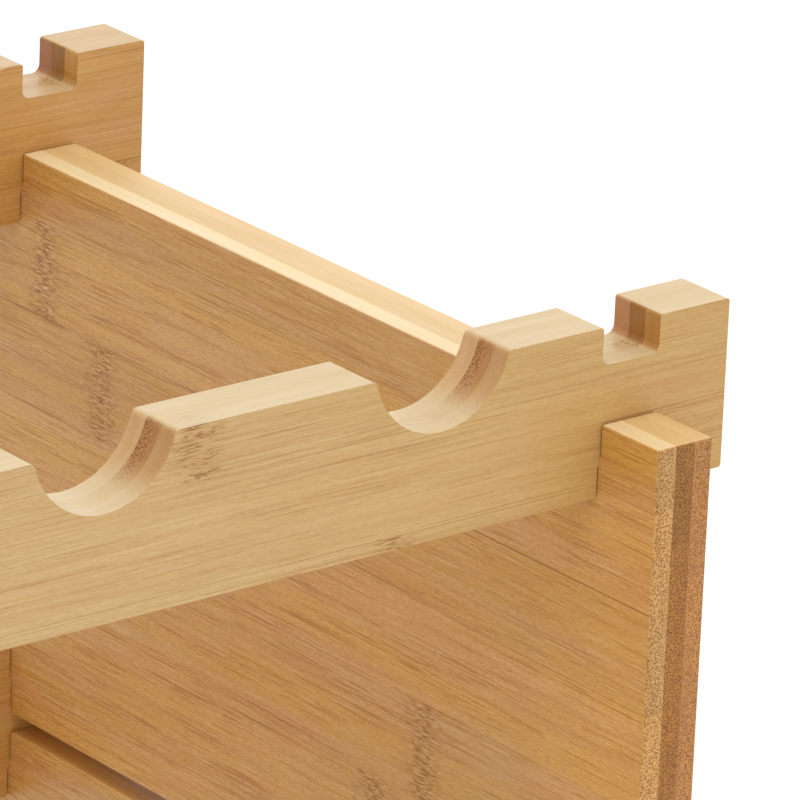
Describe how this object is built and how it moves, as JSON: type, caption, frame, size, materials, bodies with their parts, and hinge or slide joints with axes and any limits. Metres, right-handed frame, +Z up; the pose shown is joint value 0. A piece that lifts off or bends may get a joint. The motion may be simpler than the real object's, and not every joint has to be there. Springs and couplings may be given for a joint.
{
  "type": "wine rack",
  "caption": "Stacking wine rack of slotted bamboo boards: scalloped neck and body rails lap over side panels, with open slots on top for more rows.",
  "frame": {"origin": "on the floor, under the middle of the rack", "axes": "+Z up; +X to the right, along the rails; -Y to the front, where the bottle necks lie"},
  "size_m": [0.4154, 0.262, 0.3285],
  "materials": {
    "neck_rail_bamboo": "satin clear lacquer",
    "body_rail_bamboo": "satin clear lacquer",
    "side_panel_bamboo": "satin clear lacquer"
  },
  "bodies": {
    "bottom_rails": {"neck_rail_bottom": "neck_rail_bamboo", "body_rail_bottom": "body_rail_bamboo"},
    "lower_panels": {"side_panel_lower_left": "side_panel_bamboo", "side_panel_lower_right": "side_panel_bamboo"},
    "middle_rails": {"neck_rail_middle": "neck_rail_bamboo", "body_rail_middle": "body_rail_bamboo"},
    "upper_panels": {"side_panel_upper_left": "side_panel_bamboo", "side_panel_upper_right": "side_panel_bamboo"},
    "top_neck_rail": {"neck_rail_top": "neck_rail_bamboo"},
    "top_body_rail": {"body_rail_top": "body_rail_bamboo"}
  },
  "joints": [
    {"name": "lift_lower_panels", "type": "slide", "parent": "bottom_rails", "child": "lower_panels", "axis": [0, 0, 1], "range_m": [0, 0.05]},
    {"name": "lift_middle_rails", "type": "slide", "parent": "lower_panels", "child": "middle_rails", "axis": [0, 0, 1], "range_m": [0, 0.05]},
    {"name": "lift_upper_panels", "type": "slide", "parent": "middle_rails", "child": "upper_panels", "axis": [0, 0, 1], "range_m": [0, 0.05]},
    {"name": "lift_top_neck_rail", "type": "slide", "parent": "upper_panels", "child": "top_neck_rail", "axis": [0, 0, 1], "range_m": [0, 0.05]},
    {"name": "lift_top_body_rail", "type": "slide", "parent": "upper_panels", "child": "top_body_rail", "axis": [0, 0, 1], "range_m": [0, 0.05]}
  ]
}
